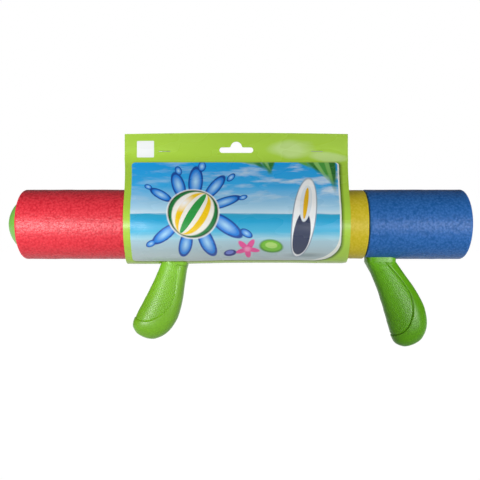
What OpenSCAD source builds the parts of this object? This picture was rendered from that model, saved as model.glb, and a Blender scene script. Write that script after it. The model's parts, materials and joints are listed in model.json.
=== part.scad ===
// Two-handled foam water squirter on its hanging display card.
// +X runs from the nozzle to the rear end cap, +Z is up and both grips hang down.
// The origin lies on the barrel axis, in the mouth of the jet at the tip of the nozzle dome.

/* [Foam sleeves] */
// Outside diameter of the front and rear foam sleeves
foam_d = 65; // [58:0.5:80]
// How much slimmer the middle sleeve is, all round
middle_inset = 0.4; // [0:0.1:2]
// Length of the front foam sleeve
front_sleeve_l = 124.6; // [100:0.2:180]
// Length of the middle foam sleeve
middle_sleeve_l = 189.5; // [180:0.5:300]
// Length of the rear foam sleeve
rear_sleeve_l = 91.4; // [60:0.2:150]
// Rounding of the foam where two sleeves meet
foam_edge = 1.2; // [0.4:0.1:3]
// Rounding of the foam at the nozzle and at the rear end
foam_end_edge = 2.4; // [0.4:0.1:5]

/* [Tubes] */
// Outside diameter of the barrel tube and of the rear carrier tube
barrel_d = 45; // [42:0.5:50]
// Wall of the barrel tube and of the rear carrier tube
barrel_wall = 2; // [1.2:0.1:2.6]
// Outside diameter of the plunger tube
plunger_d = 32; // [26:0.5:33]
// Wall of the plunger tube
plunger_wall = 2; // [1.2:0.1:3]
// Gap between the two halves of the body when the pump is closed
closing_gap = 0.4; // [0.3:0.1:2]

/* [Nozzle and end caps] */
// Diameter of the domed end caps where they meet the foam
cap_d = 50; // [48:0.5:56]
// How far the nozzle dome stands out from the foam
dome_h = 14.5; // [10:0.5:20]
// Wall of the domes
dome_wall = 2.5; // [1.5:0.1:4]
// Diameter of the jet bore
jet_d = 5; // [3:0.1:8]
// Outside diameter of the jet tube
jet_tube_d = 11; // [10:0.1:14]
// Length of the jet tube, counted from the tip of the dome
jet_l = 10; // [6:0.5:14]
// Length of the plugs that seat the end caps in their tubes
plug_l = 12; // [8:0.5:20]
// Thickness of the nozzle gasket
gasket_t = 1.5; // [1:0.1:3]
// How far the rear end cap stands out
rear_dome_h = 5; // [3:0.5:10]

/* [Piston and guides] */
// Length of the piston head
piston_l = 24; // [16:0.5:40]
// Gap between the piston and the nozzle plug when the pump is closed
piston_gap = 2; // [1:0.5:6]
// Section diameter of the piston seal
seal_d = 3.5; // [2.5:0.1:4.5]
// Length of the spigot that holds the piston in the plunger tube
spigot_l = 16; // [10:0.5:30]
// Thickness of the flanges on the barrel gland and the carrier bush
guide_flange = 3; // [2:0.5:6]
// Length of the barrel gland and the carrier bush inside their tubes
guide_l = 15; // [10:0.5:30]

/* [Grips] */
// Length of the neck of the rear grip along the barrel
neck_l = 27.5; // [24:0.5:34]
// Width of the neck of the rear grip across the barrel
neck_w = 22; // [20:0.5:26]
// Length of the rear grip below its neck
grip_l = 82.5; // [70:0.5:100]
// Greatest depth of the rear grip from front to back
grip_depth = 37.6; // [32:0.1:46]
// Greatest thickness of the rear grip across the barrel
grip_t = 26.4; // [24:0.2:32]
// How far each neck sits behind the front face of its foam sleeve
neck_setback = 2.2; // [0.4:0.1:4]
// Size of the front grip beside the rear grip
front_grip_size = 0.944; // [0.9:0.002:1.1]
// How much deeper the front grip is, for its size, than the rear grip
front_grip_fullness = 1.032; // [0.96:0.002:1.06]
// Rake of the front grip, negative towards the nozzle
front_rake = -19.2; // [-24:0.1:0]
// Rake of the rear grip, positive towards the rear end
rear_rake = 24.3; // [0:0.1:28]
// How far the neck of the front grip reaches below the foam
front_drop = 0.4; // [0:0.1:3]
// How far the neck of the rear grip reaches below the foam
rear_drop = 2.5; // [1:0.1:6]
// Wall of the grip shells under the finger panels
grip_wall = 2.2; // [1.6:0.1:3]
// Depth of the finger panels
panel_recess = 0.9; // [0.4:0.1:1.4]
// Diameter of the grip screws
screw_d = 3; // [2.5:0.1:4]
// Diameter of the screw heads
screw_head_d = 5.6; // [5:0.1:7]
// Height of the screw heads
screw_head_h = 1.8; // [1.2:0.1:2.4]

/* [Display card] */
// Thickness of the card
card_t = 0.6; // [0.4:0.1:1]
// Width of the card along the barrel
card_w = 208.5; // [180:0.5:220]
// Distance of the card from the front face of the foam
card_x = 92; // [70:0.5:100]
// Height above the foam at which the two sheets of the card meet
fold_rise = 27.5; // [22:0.5:34]
// Height of the flat header above that
header_h = 25.5; // [24:0.5:45]
// How far the card hangs below the foam
card_slack = 3; // [1:0.5:8]
// Radius of the card under the foam
belly_r = 26.7; // [22:0.1:30]
// How much the front edge of the card curves in
front_waist = 4.8; // [1:0.1:6]
// How much the rear edge of the card curves in
rear_waist = 3.4; // [1:0.1:6]
// How much lower the top corners of the card are than its middle
card_crown = 1.1; // [0:0.1:3]
// Width of the hanging slot
slot_w = 31.6; // [28:0.2:34]
// Height of the straight part of the hanging slot
slot_h = 5.2; // [4.5:0.1:7]
// Diameter of the round top of the hanging slot
slot_crown_d = 10.6; // [9:0.1:12]
// Fillet between the round top and the straight part of the hanging slot
slot_fillet = 1.6; // [0.4:0.1:2]
// Height of the bottom of the hanging slot above the fold
slot_rise = 6.8; // [4:0.1:12]
// Length of a staple
staple_l = 11; // [8:0.5:14]
// Wire thickness of a staple
staple_t = 0.6; // [0.4:0.1:0.9]
// Length of each bent leg of a staple behind the card
clinch_l = 3.1; // [2:0.1:3.8]
// Distance of the front staple from the front edge of the card
front_staple_x = 37; // [20:0.5:60]
// Distance of the rear staple from the rear edge of the card
rear_staple_x = 29; // [20:0.5:60]

/* [Hidden] */
$fn = 96;

foam_red = "#d7313c";
foam_yellow = "#c5b647";
foam_blue = "#255997";
handle_green = "#79bc2c";
dome_green = "#80c44f";
tube_white = "#e4e6e2";
seal_black = "#2b2b2d";
card_green = "#a8cf4a";
steel_grey = "#b4b7ba";

// Clearances: glued and pressed seats, running fits, foam round a neck, a piston in its bore
seat_gap = 0.05;
running_gap = 0.05;
foam_gap = 0.1;
neck_gap = 0.3;
piston_clearance = 0.3;
groove_gap = 0.35;
card_gap = 0.3;
parting_gap = 0.1;
over = 1;
corner_steps = 6;

foam_r = foam_d / 2;
barrel_r = barrel_d / 2;
bore_r = barrel_r - barrel_wall;
plunger_r = plunger_d / 2;
plunger_bore_r = plunger_r - plunger_wall;
cap_r = cap_d / 2;

// Places along the barrel, counted from the mouth of the jet
foam_front = dome_h;
middle_front = foam_front + front_sleeve_l;
barrel_rear = middle_front + middle_sleeve_l;
carrier_front = barrel_rear + closing_gap;
rear_face = carrier_front + rear_sleeve_l;
gland_front = barrel_rear - guide_flange - guide_l;
piston_front = foam_front + plug_l + piston_gap;
piston_rear = piston_front + piston_l;
plunger_rear = rear_face - dome_wall;

// Piston: seal groove, spigot and the bead that snaps into the plunger tube
piston_r = bore_r - piston_clearance;
seal_ring_r = bore_r - running_gap - seal_d / 2;
groove_r = seal_ring_r - seal_d / 2 - seat_gap;
groove_w = seal_d + 2 * groove_gap;
groove_x = piston_front + piston_l / 2 - groove_w / 2;
piston_face = 3;
spigot_r = plunger_bore_r - running_gap;
spigot_wall = 2.5;
bead_h = 0.4;
bead_w = 2;
bead_gap = 0.1;
bead_x = piston_rear + spigot_l - 2 * bead_w;

// Domes: sphere radius from the base radius and the height of the cap
nozzle_sphere_r = (cap_r * cap_r + dome_h * dome_h) / (2 * dome_h);
rear_sphere_r = (cap_r * cap_r + rear_dome_h * rear_dome_h) / (2 * rear_dome_h);
plug_wall = 2.2;
plug_r = bore_r - seat_gap;

// Grips: rows down the grip give shares of its length, of its depth to the front and to the back of
// the grip's own axis, and of its thickness
grip_shares = [
    [0.072, 0.344, 0.355, 0.871],
    [0.240, 0.357, 0.424, 0.902],
    [0.433, 0.401, 0.506, 0.939],
    [0.625, 0.460, 0.537, 0.985],
    [0.745, 0.499, 0.501, 1],
    [0.841, 0.509, 0.429, 0.977],
    [0.913, 0.482, 0.324, 0.856],
    [0.968, 0.370, 0.189, 0.606],
    [0.989, 0.276, 0.098, 0.409],
    [1, 0.172, 0.011, 0.227]
];
grip_rows = [
    for (s = grip_shares) [s[0] * grip_l, s[1] * grip_depth, s[2] * grip_depth, s[3] * grip_t / 2]
];
// Edge of the finger panel from the neck round to the front of the lobe, as offset and distance down
panel_shares = [
    [0.026, -0.048], [0.218, 0.216], [0.314, 0.433], [0.250, 0.572],
    [0.133, 0.674], [-0.058, 0.764], [-0.279, 0.807], [-0.617, 0.805]
];
panel_edge = [for (s = panel_shares) [s[0] * grip_depth, -s[1] * grip_l]];
row_steps = 2;
edge_steps = 4;
ring_points = 32;
neck_roundness = 4;
grip_roundness = 2.4;
// The slimmest section, past its inset, that a hollow or a core still follows
least_section = 4;
// Screws down the grip: offset from the axis and distance from the neck
screw_shares = [[0, 0.012], [0.077, 0.397], [-0.051, 0.781]];
screw_places = [for (s = screw_shares) [s[0] * grip_depth, s[1] * grip_l]];
boss_r = 4.6;
rib_places = [0.216 * grip_l, 0.601 * grip_l];
rib_t = 1.6;
screw_gap = 0.15;
screw_tip_wall = 1.2;
head_gap = 0.3;
head_sink = 0.2;
cavity_inset = panel_recess + grip_wall;

// Each grip as its rake, its size beside the rear grip and its depth beside that of the rear grip
front_grip = [front_rake, front_grip_size, front_grip_size * front_grip_fullness];
rear_grip = [rear_rake, 1, 1];
front_grip_x = middle_front + neck_setback + neck_l * front_grip_size / 2;
rear_grip_x = carrier_front + neck_setback + neck_l / 2;
front_grip_z = -(foam_r + front_drop);
rear_grip_z = -(foam_r + rear_drop);

// Card: loop round the foam, flat header above the fold
loop_r = foam_r + card_gap + card_t;
belly_z = -(foam_r + card_slack + card_t) + belly_r;
card_fold = foam_r + fold_rise;
sheet_bond = 0.05;
header_t = 2 * card_t - sheet_bond;
fold_fillet = 24;
neck_cut_gap = 1;
neck_cut_x = front_grip_x + tan(front_rake) * (card_slack + card_t - front_drop);
crown_steps = 16;
// Curved sides of the card: height of the deepest place and half the height of the curve
waist_z = -2;
waist_half = 63;
card_front = foam_front + card_x;
slot_x = card_front + card_w / 2;
slot_z = card_fold + slot_rise + slot_h / 2;
crown_z = slot_z + slot_h / 2;
staple_z = slot_z - slot_h / 4;
staple_gap = 0.05;
staple_places = [card_front + front_staple_x, card_front + card_w - rear_staple_x];

// Curve through a list of rows, cut into an equal number of steps between them
function curve_at(rows, t) =
    let (last = len(rows) - 1)
    let (i = min(floor(t), last - 1))
    let (u = t - i)
    let (a = rows[max(i - 1, 0)], b = rows[i], c = rows[i + 1], d = rows[min(i + 2, last)])
    (2 * b + (c - a) * u + (2 * a - 5 * b + 4 * c - d) * u * u + (3 * b - a - 3 * c + d) * u * u * u) / 2;
function curve(rows, steps) = [for (i = [0 : (len(rows) - 1) * steps]) curve_at(rows, i / steps)];

// Rounded outline between an ellipse (2) and a box, with half sizes a and b
function soft_box(a, b, roundness) = [
    for (i = [0 : ring_points - 1])
        let (c = cos(360 * i / ring_points), s = sin(360 * i / ring_points))
        [a * sign(c) * pow(abs(c), 2 / roundness), b * sign(s) * pow(abs(s), 2 / roundness)]
];

// Quarter of a circle, for a rounded corner
function quarter(x, y, r, from) = [
    for (i = [0 : corner_steps])
        let (angle = from + 90 * i / corner_steps)
        [x + r * cos(angle), y + r * sin(angle)]
];

// Sections of a neck and of a grip, set round the middle of the neck's lower end
function neck_ring(size, inset, z) = [
    for (p = soft_box(neck_l * size / 2 - inset, neck_w * size / 2 - inset, neck_roundness)) [p[0], p[1], z]
];
function grip_ring(row, grip, inset) =
    let (rake = grip[0], size = grip[1])
    let (half_l = (row[1] + row[2]) / 2 * grip[2] - inset)
    let (middle = (row[2] - row[1]) / 2 * grip[2])
    [
        for (p = soft_box(half_l, row[3] * size - inset, grip_roundness))
            [
                (p[0] + middle) * cos(rake) + row[0] * size * sin(rake),
                p[1],
                (p[0] + middle) * sin(rake) - row[0] * size * cos(rake)
            ]
    ];
function grip_rings(grip, inset) = [
    for (row = curve(grip_rows, row_steps))
        if (inset == 0 || min((row[1] + row[2]) / 2, row[3]) * grip[1] > inset + least_section)
            grip_ring(row, grip, inset)
];
function neck_top(z) = -z - sqrt(barrel_r * barrel_r - neck_w * neck_w / 4);

module along_x(x) {
    translate([x, 0, 0]) rotate([0, 90, 0]) children();
}

module disc(x, l, r) {
    along_x(x) cylinder(h = l, r = r);
}

module tube(x, l, outer_r, inner_r) {
    difference() {
        disc(x, l, outer_r);
        disc(x - over, l + 2 * over, inner_r);
    }
}

// Cap of a sphere on the plane at x, with its tip towards the nozzle
module sphere_cap(x, height, sphere_r) {
    intersection() {
        translate([x - height + sphere_r, 0, 0]) sphere(r = sphere_r);
        disc(x - height, height, sphere_r);
    }
}

module foam_tube(x, l, r, front_edge, rear_edge) {
    inner = barrel_r + foam_gap;
    along_x(x) rotate_extrude() polygon(concat(
        [[inner, l], [inner, 0]],
        quarter(r - front_edge, front_edge, front_edge, -90),
        quarter(r - rear_edge, l - rear_edge, rear_edge, 0)
    ));
}

// Upright opening round a neck, left open towards the front
module neck_opening(x, size, gap) {
    outline = soft_box(neck_l * size / 2 + gap, neck_w * size / 2 + gap, neck_roundness);
    translate([x, 0, -2 * foam_r]) linear_extrude(2 * foam_r) {
        polygon(outline);
        translate([-neck_l * size / 2, 0])
            square([neck_l * size, neck_w * size + 2 * gap], center = true);
    }
}

module loft_step(a, b) {
    n = len(a);
    hull() polyhedron(
        points = concat(a, b),
        faces = concat(
            [[for (i = [n - 1 : -1 : 0]) i], [for (i = [0 : n - 1]) n + i]],
            [for (i = [0 : n - 1]) [i, (i + 1) % n, n + (i + 1) % n]],
            [for (i = [0 : n - 1]) [i, n + (i + 1) % n, n + i]]
        )
    );
}

module neck_block(z, size, inset) {
    loft_step(neck_ring(size, inset, neck_top(z)), neck_ring(size, inset, 0));
}

module grip_lobe(grip, inset) {
    rings = concat([neck_ring(grip[1], inset, 0)], grip_rings(grip, inset));
    for (i = [0 : len(rings) - 2]) loft_step(rings[i], rings[i + 1]);
}

module finger_panel(grip) {
    edge = curve(panel_edge, edge_steps);
    front = -2 * grip_depth;
    outline = concat(edge, [[front, edge[len(edge) - 1][1]], [front, edge[0][1]]]);
    rotate([0, -grip[0], 0]) rotate([90, 0, 0]) linear_extrude(2 * grip_t, center = true)
        polygon([for (p = outline) [p[0] * grip[2], p[1] * grip[1]]]);
}

// Bar along Y at a place on the grip
module grip_bar(rake, place, from, to, r) {
    rotate([0, -rake, 0]) translate([place[0], from, -place[1]]) rotate([-90, 0, 0])
        cylinder(h = to - from, r = r, $fn = 32);
}

function seat_y(size) = neck_w * size / 2 - screw_head_h - head_sink;
function tip_y(size) = -(neck_w * size / 2 - screw_tip_wall);

module grip_stiffeners(rake, size) {
    for (i = [1 : len(screw_places) - 1])
        grip_bar(rake, screw_places[i] * size, -grip_t, grip_t, boss_r);
    for (s = rib_places)
        rotate([0, -rake, 0]) translate([0, 0, -s * size])
            cube([2 * grip_depth, 2 * grip_t, rib_t], center = true);
}

module grip_half(z, grip, side) {
    rake = grip[0];
    size = grip[1];
    difference() {
        intersection() {
            union() {
                neck_block(z, size, 0);
                grip_lobe(grip, panel_recess);
                difference() {
                    grip_lobe(grip, 0);
                    finger_panel(grip);
                }
            }
            translate([0, side * (grip_t + parting_gap / 2), 0])
                cube([4 * grip_l, 2 * grip_t, 4 * grip_l], center = true);
        }
        neck_block(z, size, cavity_inset);
        difference() {
            grip_lobe(grip, cavity_inset);
            grip_stiffeners(rake, size);
        }
        translate([0, 0, -z]) rotate([0, 90, 0])
            cylinder(h = 2 * neck_l, r = barrel_r + foam_gap, center = true);
        for (place = screw_places * size) {
            grip_bar(rake, place, tip_y(size) - screw_gap, grip_t, screw_d / 2 + screw_gap);
            grip_bar(rake, place, seat_y(size), grip_t, screw_head_d / 2 + head_gap);
        }
    }
}

module grip_screws(grip) {
    rake = grip[0];
    size = grip[1];
    for (place = screw_places * size) {
        grip_bar(rake, place, tip_y(size), seat_y(size) + screw_head_h / 2, screw_d / 2);
        grip_bar(rake, place, seat_y(size), seat_y(size) + screw_head_h, screw_head_d / 2);
    }
}

// Tube with the post that a grip is screwed to
module post_tube(x, l, grip_x, grip_z, grip) {
    inset = cavity_inset + neck_gap;
    size = grip[1];
    difference() {
        union() {
            disc(x, l, barrel_r);
            translate([grip_x, 0, grip_z]) {
                loft_step(neck_ring(size, inset, -grip_z - barrel_r / 2), neck_ring(size, inset, 0));
                loft_step(neck_ring(size, inset, 0), grip_ring(grip_rows[0], grip, inset));
            }
        }
        disc(x - over, l + 2 * over, bore_r);
        translate([grip_x, 0, grip_z])
            grip_bar(grip[0], screw_places[0] * size, -neck_w, neck_w, screw_d / 2 + screw_gap);
    }
}

// Flanged guide ring for the plunger tube
module guide(flange_x, body_x) {
    difference() {
        union() {
            disc(flange_x, guide_flange, barrel_r);
            disc(body_x, guide_l, bore_r - seat_gap);
        }
        disc(min(flange_x, body_x) - over, guide_flange + guide_l + 2 * over, plunger_r + running_gap);
    }
}

module barrel_tube() {
    start = foam_front + gasket_t;
    color(tube_white)
        post_tube(start, barrel_rear - guide_flange - start, front_grip_x, front_grip_z, front_grip);
}

module nozzle_cap() {
    plug_x = foam_front - dome_wall;
    color(dome_green) difference() {
        union() {
            difference() {
                union() {
                    sphere_cap(foam_front, dome_h, nozzle_sphere_r);
                    disc(plug_x, dome_wall + plug_l, plug_r);
                }
                sphere_cap(plug_x, dome_h - 2 * dome_wall, nozzle_sphere_r - dome_wall);
                disc(plug_x - over, dome_wall + plug_l + 2 * over, plug_r - plug_wall);
            }
            disc(0, jet_l, jet_tube_d / 2);
        }
        disc(-over, jet_l + 2 * over, jet_d / 2);
    }
}

module nozzle_gasket() {
    color(seal_black) tube(foam_front, gasket_t, barrel_r, bore_r);
}

module front_foam_sleeve() {
    color(foam_red) foam_tube(foam_front, front_sleeve_l, foam_r, foam_end_edge, foam_edge);
}

module middle_foam_sleeve() {
    color(foam_yellow) difference() {
        foam_tube(middle_front, middle_sleeve_l, foam_r - middle_inset, foam_edge, foam_edge);
        neck_opening(front_grip_x, front_grip_size, neck_gap);
    }
}

module barrel_gland() {
    color(tube_white) guide(barrel_rear - guide_flange, gland_front);
}

module front_grip_left_shell() {
    color(handle_green) translate([front_grip_x, 0, front_grip_z])
        grip_half(front_grip_z, front_grip, -1);
}

module front_grip_right_shell() {
    color(handle_green) translate([front_grip_x, 0, front_grip_z])
        grip_half(front_grip_z, front_grip, 1);
}

module front_grip_screws() {
    color(steel_grey) translate([front_grip_x, 0, front_grip_z]) grip_screws(front_grip);
}

module piston_head() {
    color(tube_white) difference() {
        union() {
            disc(piston_front, piston_l, piston_r);
            disc(piston_rear - over, spigot_l + over, spigot_r);
            disc(bead_x, bead_w, plunger_bore_r + bead_h);
        }
        tube(groove_x, groove_w, bore_r + over, groove_r);
        disc(piston_front + piston_face, piston_l + spigot_l, spigot_r - spigot_wall);
    }
}

module piston_seal() {
    color(seal_black) along_x(groove_x + groove_w / 2) rotate_extrude()
        translate([seal_ring_r, 0]) circle(d = seal_d, $fn = 32);
}

module plunger_tube() {
    start = piston_rear + running_gap;
    color(tube_white) difference() {
        tube(start, plunger_rear - start, plunger_r, plunger_bore_r);
        disc(bead_x - bead_gap, bead_w + 2 * bead_gap, plunger_bore_r + bead_h + bead_gap);
    }
}

module carrier_tube() {
    start = carrier_front + guide_flange;
    color(tube_white)
        post_tube(start, rear_face - start, rear_grip_x, rear_grip_z, rear_grip);
}

module carrier_bush() {
    color(tube_white) guide(carrier_front, carrier_front + guide_flange);
}

module rear_foam_sleeve() {
    color(foam_blue) difference() {
        foam_tube(carrier_front, rear_sleeve_l, foam_r, foam_edge, foam_end_edge);
        neck_opening(rear_grip_x, 1, neck_gap);
    }
}

module rear_end_cap() {
    color(dome_green) difference() {
        union() {
            translate([rear_face, 0, 0]) rotate([0, 0, 180]) sphere_cap(0, rear_dome_h, rear_sphere_r);
            disc(rear_face - plug_l, plug_l + over, plug_r);
        }
        disc(rear_face - plug_l - over, plug_l + over - dome_wall + running_gap, plunger_r + seat_gap);
    }
}

module rear_grip_left_shell() {
    color(handle_green) translate([rear_grip_x, 0, rear_grip_z]) grip_half(rear_grip_z, rear_grip, -1);
}

module rear_grip_right_shell() {
    color(handle_green) translate([rear_grip_x, 0, rear_grip_z]) grip_half(rear_grip_z, rear_grip, 1);
}

module rear_grip_screws() {
    color(steel_grey) translate([rear_grip_x, 0, rear_grip_z]) grip_screws(rear_grip);
}

// Outline of the folded card seen along the barrel
module card_outline() {
    offset(r = -fold_fillet) offset(r = fold_fillet) {
        hull() {
            circle(r = loop_r);
            translate([0, belly_z]) circle(r = belly_r);
            translate([0, card_fold]) square([header_t, over], center = true);
        }
        translate([-header_t / 2, card_fold]) square([header_t, header_h]);
    }
}

module hanging_slot() {
    end = slot_w / 2 - slot_h / 2;
    translate([slot_x, 0, 0]) rotate([90, 0, 0]) linear_extrude(foam_d, center = true)
        offset(r = -slot_fillet, $fn = 32) offset(r = slot_fillet, $fn = 32) {
            hull() {
                translate([-end, slot_z]) circle(d = slot_h, $fn = 32);
                translate([end, slot_z]) circle(d = slot_h, $fn = 32);
            }
            translate([0, crown_z]) circle(d = slot_crown_d, $fn = 48);
        }
}

module card_side_cut(x, side, waist) {
    waist_r = (waist_half * waist_half + waist * waist) / (2 * waist);
    translate([x + side * (waist_r - waist), 0, waist_z]) rotate([90, 0, 0])
        cylinder(h = 3 * foam_d, r = waist_r, center = true, $fn = 180);
}

// Everything below the bowed top edge of the card
module card_limit() {
    half = card_w / 2;
    edge = [
        for (i = [0 : crown_steps])
            let (u = 2 * i / crown_steps - 1)
            [u * (half + over), card_fold + header_h - card_crown * u * u]
    ];
    translate([slot_x, 0, 0]) rotate([90, 0, 0]) linear_extrude(3 * foam_d, center = true)
        polygon(concat([[half + over, -2 * foam_r], [-half - over, -2 * foam_r]], edge));
}

module staple_holes(gap) {
    for (x = staple_places)
        for (end = [-1, 1])
            translate([x + end * (staple_l - staple_t) / 2, 0, staple_z])
                cube([staple_t + 2 * gap, header_t + 2 * staple_t, staple_t + 2 * gap], center = true);
}

module header_card() {
    neck_cut = soft_box(neck_l * front_grip_size / 2 + neck_cut_gap,
        neck_w * front_grip_size / 2 + neck_cut_gap, neck_roundness);
    color(card_green) difference() {
        intersection() {
            translate([card_front, 0, 0]) rotate([90, 0, 90]) linear_extrude(card_w) difference() {
                card_outline();
                offset(delta = -card_t) card_outline();
            }
            card_limit();
        }
        card_side_cut(card_front, -1, front_waist);
        card_side_cut(card_front + card_w, 1, rear_waist);
        translate([neck_cut_x, 0, -2 * foam_r]) linear_extrude(2 * foam_r) polygon(neck_cut);
        hanging_slot();
        staple_holes(staple_gap);
    }
}

module card_staples() {
    outside = header_t / 2 + staple_gap + staple_t / 2;
    color(steel_grey) for (x = staple_places) {
        translate([x, -outside, staple_z]) cube([staple_l, staple_t, staple_t], center = true);
        for (end = [-1, 1]) {
            translate([x + end * (staple_l - staple_t) / 2, 0, staple_z])
                cube([staple_t, 2 * outside + staple_t, staple_t], center = true);
            translate([x + end * (staple_l - clinch_l) / 2, outside, staple_z])
                cube([clinch_l, staple_t, staple_t], center = true);
        }
    }
}

barrel_tube();
nozzle_cap();
nozzle_gasket();
front_foam_sleeve();
middle_foam_sleeve();
barrel_gland();
front_grip_left_shell();
front_grip_right_shell();
front_grip_screws();
piston_head();
piston_seal();
plunger_tube();
carrier_tube();
carrier_bush();
rear_foam_sleeve();
rear_end_cap();
rear_grip_left_shell();
rear_grip_right_shell();
rear_grip_screws();
header_card();
card_staples();
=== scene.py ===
"""Two-handled foam water squirter on its hanging display card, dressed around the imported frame."""
import json
import math

import bmesh
import bpy
import numpy as np
from bpy.props import FloatProperty, FloatVectorProperty, IntProperty, PointerProperty
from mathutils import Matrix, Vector, noise

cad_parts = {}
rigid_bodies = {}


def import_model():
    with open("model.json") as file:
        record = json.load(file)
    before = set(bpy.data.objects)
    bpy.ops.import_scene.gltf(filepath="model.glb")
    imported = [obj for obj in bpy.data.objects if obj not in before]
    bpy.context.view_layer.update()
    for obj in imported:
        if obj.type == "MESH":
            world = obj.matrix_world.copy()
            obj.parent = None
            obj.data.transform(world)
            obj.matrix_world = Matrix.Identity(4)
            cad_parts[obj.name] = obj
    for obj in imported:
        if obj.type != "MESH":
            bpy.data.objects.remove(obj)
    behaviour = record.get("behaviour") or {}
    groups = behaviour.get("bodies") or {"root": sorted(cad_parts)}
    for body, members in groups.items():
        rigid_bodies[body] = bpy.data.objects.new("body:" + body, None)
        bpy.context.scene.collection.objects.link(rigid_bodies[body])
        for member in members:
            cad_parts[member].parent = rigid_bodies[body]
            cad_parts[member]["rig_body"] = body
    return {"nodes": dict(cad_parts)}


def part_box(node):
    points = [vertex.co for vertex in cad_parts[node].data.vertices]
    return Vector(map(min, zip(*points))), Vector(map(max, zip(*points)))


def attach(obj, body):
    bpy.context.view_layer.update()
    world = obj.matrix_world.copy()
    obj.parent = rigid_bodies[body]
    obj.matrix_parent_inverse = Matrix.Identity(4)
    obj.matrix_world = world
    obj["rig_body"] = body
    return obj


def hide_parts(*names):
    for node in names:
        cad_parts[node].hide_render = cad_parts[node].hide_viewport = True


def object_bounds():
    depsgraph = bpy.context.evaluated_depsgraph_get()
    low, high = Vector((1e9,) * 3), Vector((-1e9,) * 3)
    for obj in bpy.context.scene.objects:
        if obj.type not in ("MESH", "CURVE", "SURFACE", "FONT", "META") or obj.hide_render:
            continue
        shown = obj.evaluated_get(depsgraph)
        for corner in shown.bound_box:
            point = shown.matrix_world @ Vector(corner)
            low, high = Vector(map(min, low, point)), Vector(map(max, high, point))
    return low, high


bl_info = {
    "name": "Foam Water Squirter",
    "version": (1, 0, 0),
    "blender": (4, 5, 0),
    "location": "3D View > Sidebar > Squirter",
    "description": "Builds the foam, grips, screws, card, pump and stage of a two-handled water squirter",
    "category": "Object",
}

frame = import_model()
CAD_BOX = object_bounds()
MM = 0.001

# Sizes in millimetres that the frame doesn't give by itself
FOAM_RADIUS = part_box("front_foam_sleeve")[1].y / MM
FOAM_BORE = 22.6
FOAM_EDGE = 1.2
FOAM_END_EDGE = 2.4
NECK_LENGTH = 27.5
NECK_WIDTH = 22.0
NECK_SETBACK = 2.2
NECK_GAP = 0.3
NECK_ROUNDNESS = 4
HOLE_GAP = 1.0
PARTING = 0.05
CARD_SHEET = 0.57
CARD_SLACK = 3.6
CARD_WAISTS = (4.8, 3.4)
WAIST_HALF = 63.0
WAIST_HEIGHT = -2.0
CARD_CROWN = 1.1
CARD_WAVE = (46, 30)
CARD_FOLD = FOAM_RADIUS + 27.5
SLOT_HALF = 2.6
SLOT_HEIGHT = CARD_FOLD + 6.8 + SLOT_HALF
# How far the belly of the card hangs lower along its length: distance from its front edge, sag
CARD_SAG = [(0, 0.6), (60, 0.6), (95, -0.4), (155, -0.4), (180, 0.0), (203, 0.0), (209, -1.2)]

# Where each grip hangs: its sleeve, its size and depth beside the rear one, its rake, its drop below the
# foam, how far below that its neck ends in a ledge, from where down the painted shade line along its panel's
# step is drawn (left out above, where the step is lit), and its gloss
GRIPS = {
    "front": {"sleeve": "middle_foam_sleeve", "size": 0.944, "depth": 0.974, "rake": math.radians(-19.2),
              "drop": 0.4, "ledge": 3.6, "line": 65, "gloss": 0.5},
    "rear": {"sleeve": "rear_foam_sleeve", "size": 1.0, "depth": 1.0, "rake": math.radians(24.3),
             "drop": 2.5, "ledge": 0.0, "line": -20, "gloss": 0.25},
}
# Rows down the grip: distance from the neck, reach to the front and to the back, half thickness
GRIP_ROWS = [
    (5.9, 12.9, 13.3, 11.5), (19.8, 13.4, 15.9, 11.9), (35.7, 15.1, 19.0, 12.4), (51.6, 17.3, 20.2, 13.0),
    (61.5, 18.8, 18.8, 13.2), (69.4, 19.1, 16.1, 12.9), (75.3, 18.1, 12.2, 11.3), (79.9, 13.9, 7.1, 8.0),
    (81.6, 10.4, 3.7, 5.4), (82.5, 6.5, 0.4, 3.0),
]
# Edge of the finger panel: offset from the grip's axis and distance from the neck
PANEL_EDGE = [
    (1, -4), (8.2, 17.8), (11.8, 35.7), (9.4, 47.2), (5, 55.6), (-2.2, 63), (-10.5, 66.6), (-23.2, 66.4),
]
# Where the painted shade line of the panel's step runs, counted inwards from the panel's edge
STEP_SHADE_LINE = 0.15
OFF_PANEL = -9.0
GRIP_ROUNDNESS = 2.4
# Strength of the painted shade line in the panel's step
STEP_SHADE = 0.3
# Side of the square from which pips are dropped, its distance from the neck and from the middle of the grip,
# and how far inside the panel's edge the pips start
PIP_FIELD = 96
PIP_FIELD_DOWN = 40
PIP_FIELD_OUT = 60
PIP_MARGIN = 1.9
# Grip screws: offset and distance from the neck, sizes, how deep the heads sit and how much shorter than the
# neck's width the shanks are
SCREW_PLACES = [(0, 1), (2.9, 32.8), (-1.9, 64.4)]
SCREW = {"Head": 5.6, "Height": 1.8, "Shank": 3.0, "Scale": MM}
SCREW_SEAT = 2.0
SCREW_SHORT = 3.2
WELL_RADIUS = 3.1

# Stage, in metres: the softboxes' places, what they aim at, their spread in degrees and their widths
SOFTBOXES = {
    "left": ((-0.13, -0.46, -0.05), (0.04, 0.0, 0.025), 54, 0.26),
    "right": ((0.64, -0.46, -0.05), (0.42, 0.0, 0.01), 45, 0.42),
    "far": ((0.214, 0.90, 0.25), (0.214, 0.0, -0.02), 120, 0.26),
}
SOFTBOX_HEIGHT = 0.12
CAMERA_PLACE = (0.2142, -0.561, -0.0146)
FLOOR_HALF = 4.0
FLOOR_DROP = 0.0002
WHITE = (1.0, 1.0, 1.0, 1.0)


def linear(code):
    """Linear colour of an sRGB hex value."""
    parts = [int(code[i:i + 2], 16) / 255 for i in (1, 3, 5)]
    return tuple(p / 12.92 if p <= 0.04045 else ((p + 0.055) / 1.055) ** 2.4 for p in parts) + (1.0,)


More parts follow.
